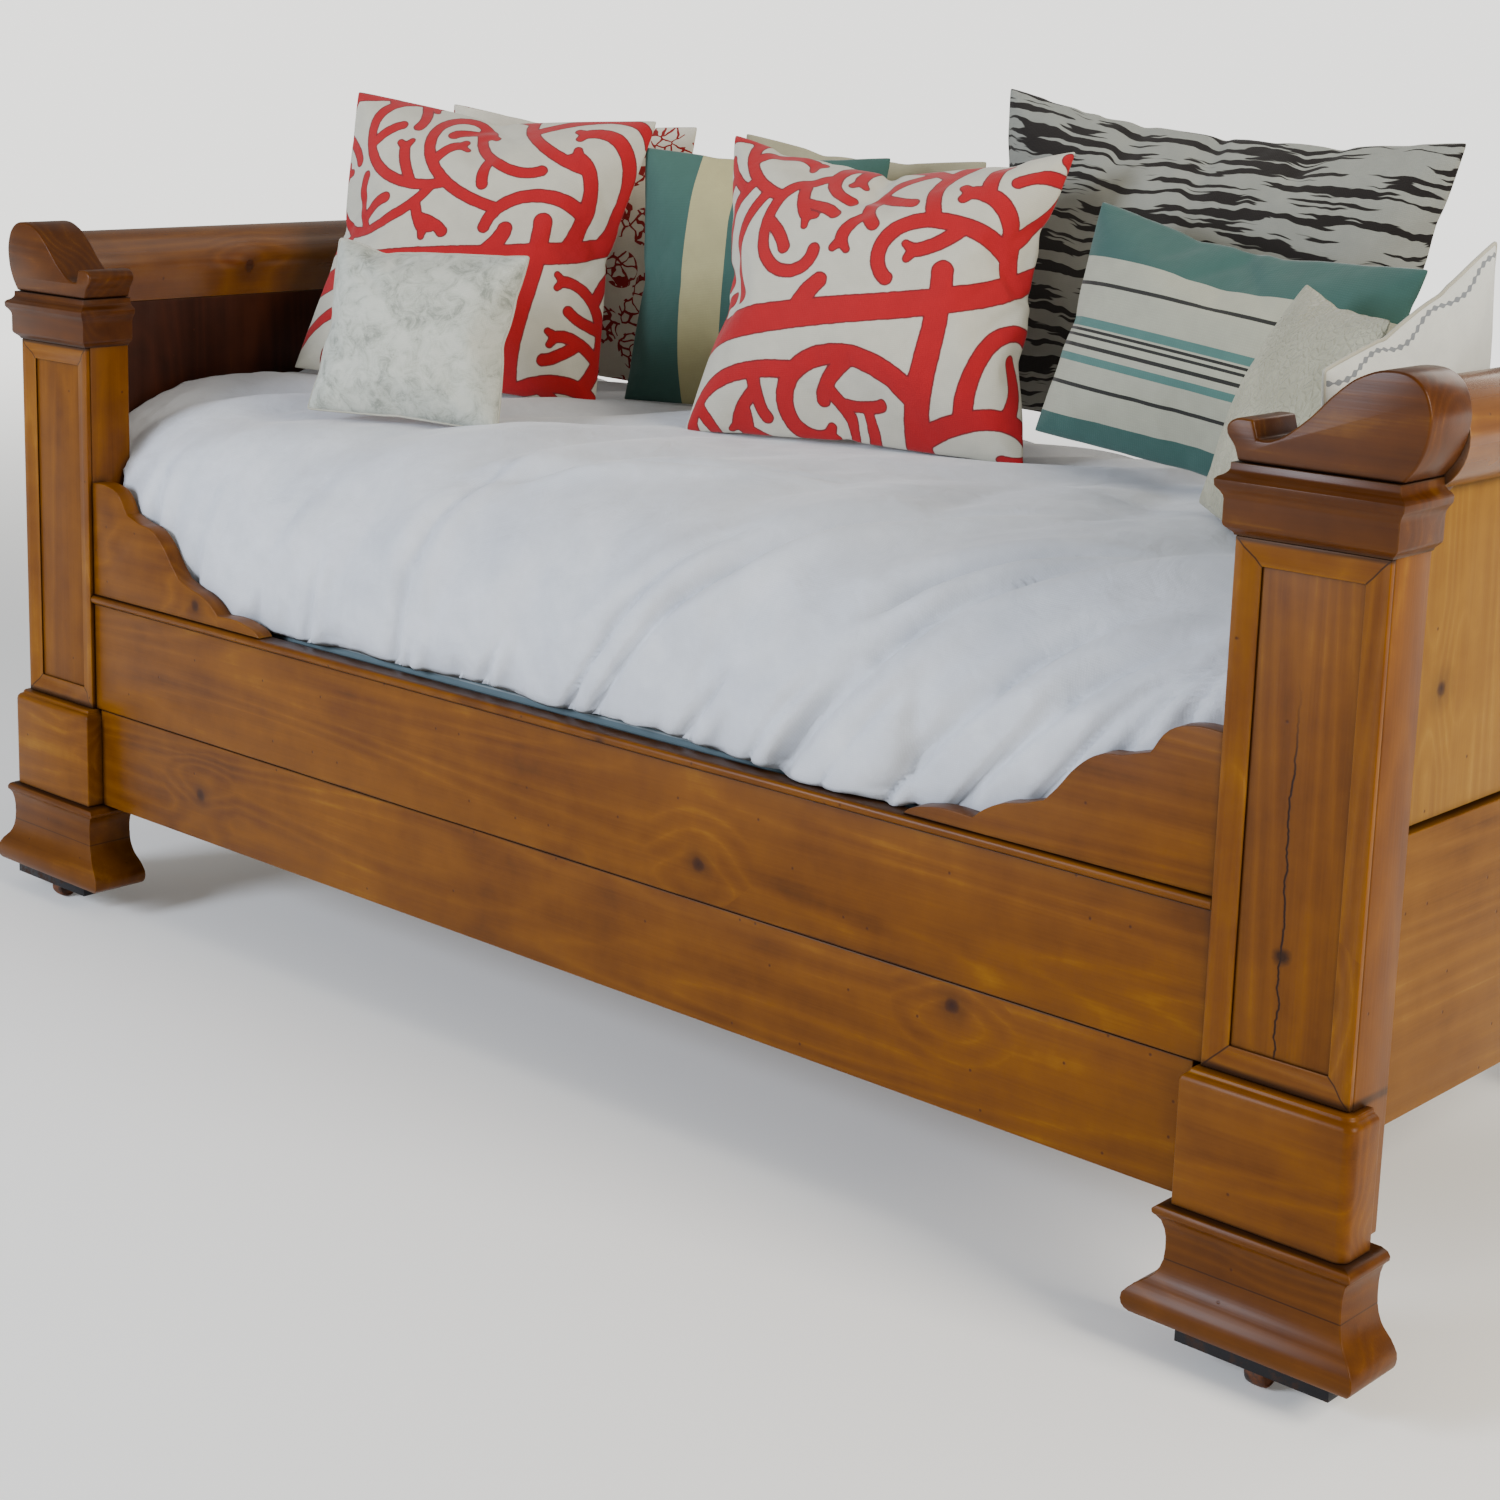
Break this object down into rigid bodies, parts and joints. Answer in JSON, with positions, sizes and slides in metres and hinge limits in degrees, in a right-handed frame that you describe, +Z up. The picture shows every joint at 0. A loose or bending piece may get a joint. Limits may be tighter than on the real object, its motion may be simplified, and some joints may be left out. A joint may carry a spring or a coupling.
{
  "type": "daybed",
  "caption": "Wooden daybed with scrolled ends, moulded corner posts, shaped front brackets and swivel casters, dressed with a mattress, duvet and pillows.",
  "frame": {"origin": "on the floor under the middle of the bed, at the height of the casters' lowest points", "axes": "+X to the right end, +Y to the back, +Z up"},
  "size_m": [2.1302, 0.9534, 1.1301],
  "materials": {
    "pine_front": "oiled pine, orange brown, semi-gloss wax, knots",
    "pine_side": "oiled pine, honey, semi-gloss wax, vertical grain",
    "pine_dark": "unpolished dark pine",
    "cast_iron": "rough dark cast iron with a little rust",
    "ticking": "blue and white striped cotton ticking",
    "white_cotton": "plain white cotton",
    "coral_print": "white cotton with a red branching print",
    "sprig_print": "cream cotton with small red brown sprigs",
    "toile_print": "cream cotton with a faint grey print",
    "teal_cotton": "teal cotton with a cream stripe",
    "oat_linen": "plain oat linen",
    "zebra_print": "off-white cotton with wavy black stripes",
    "striped_canvas": "cream canvas with teal and black stripes",
    "knobbly_cream": "cream cotton with raised stitching"
  },
  "bodies": {
    "root": {"back_left_caster_cup": "cast_iron", "back_left_crest": "pine_side", "back_left_foot": "pine_front", "back_left_post": "pine_side", "back_rail": "pine_side", "back_right_caster_cup": "cast_iron", "back_right_crest": "pine_side", "back_right_foot": "pine_front", "back_right_post": "pine_side", "duvet": "white_cotton", "front_bracket_left": "pine_front", "front_bracket_right": "pine_front", "front_ledger": "pine_dark", "front_left_capital": "pine_front", "front_left_caster_cup": "cast_iron", "front_left_foot": "pine_front", "front_left_plinth": "pine_front", "front_left_post": "pine_side", "front_left_post_frame": "pine_front", "front_left_scroll": "pine_front", "front_rail_bead": "pine_front", "front_rail_lower": "pine_front", "front_rail_upper": "pine_front", "front_right_capital": "pine_front", "front_right_caster_cup": "cast_iron", "front_right_foot": "pine_front", "front_right_plinth": "pine_front", "front_right_post": "pine_side", "front_right_post_frame": "pine_front", "front_right_scroll": "pine_front", "left_end_board": "pine_side", "left_end_panel": "pine_side", "left_end_roll": "pine_side", "mattress": "ticking", "pillow_coral_left": "coral_print", "pillow_coral_right": "coral_print", "pillow_knobbly": "knobbly_cream", "pillow_oat": "oat_linen", "pillow_sprig": "sprig_print", "pillow_striped": "striped_canvas", "pillow_teal": "teal_cotton", "pillow_toile": "toile_print", "pillow_white": "white_cotton", "pillow_zebra": "zebra_print", "right_end_board": "pine_side", "right_end_panel": "pine_side", "right_end_roll": "pine_side", "slatted_base": "pine_dark"},
    "front_left_fork": {"front_left_caster_fork": "cast_iron", "front_left_caster_axle": "cast_iron"},
    "front_left_wheel": {"front_left_caster_wheel": "cast_iron"},
    "front_right_fork": {"front_right_caster_fork": "cast_iron", "front_right_caster_axle": "cast_iron"},
    "front_right_wheel": {"front_right_caster_wheel": "cast_iron"},
    "back_left_fork": {"back_left_caster_fork": "cast_iron", "back_left_caster_axle": "cast_iron"},
    "back_left_wheel": {"back_left_caster_wheel": "cast_iron"},
    "back_right_fork": {"back_right_caster_fork": "cast_iron", "back_right_caster_axle": "cast_iron"},
    "back_right_wheel": {"back_right_caster_wheel": "cast_iron"}
  },
  "joints": [
    {"name": "front_left_swivel", "type": "hinge", "parent": "root", "child": "front_left_fork", "pos_m": [-0.956, -0.43, 0.0352], "axis": [0, 0, 1], "continuous": true},
    {"name": "front_left_roll", "type": "hinge", "parent": "front_left_fork", "child": "front_left_wheel", "pos_m": [-0.956, -0.439, 0.0155], "axis": [1, 0, 0], "continuous": true},
    {"name": "front_right_swivel", "type": "hinge", "parent": "root", "child": "front_right_fork", "pos_m": [0.956, -0.43, 0.0352], "axis": [0, 0, 1], "continuous": true},
    {"name": "front_right_roll", "type": "hinge", "parent": "front_right_fork", "child": "front_right_wheel", "pos_m": [0.956, -0.439, 0.0155], "axis": [1, 0, 0], "continuous": true},
    {"name": "back_left_swivel", "type": "hinge", "parent": "root", "child": "back_left_fork", "pos_m": [-0.956, 0.43, 0.0352], "axis": [0, 0, 1], "continuous": true},
    {"name": "back_left_roll", "type": "hinge", "parent": "back_left_fork", "child": "back_left_wheel", "pos_m": [-0.956, 0.421, 0.0155], "axis": [1, 0, 0], "continuous": true},
    {"name": "back_right_swivel", "type": "hinge", "parent": "root", "child": "back_right_fork", "pos_m": [0.956, 0.43, 0.0352], "axis": [0, 0, 1], "continuous": true},
    {"name": "back_right_roll", "type": "hinge", "parent": "back_right_fork", "child": "back_right_wheel", "pos_m": [0.956, 0.421, 0.0155], "axis": [1, 0, 0], "continuous": true}
  ]
}
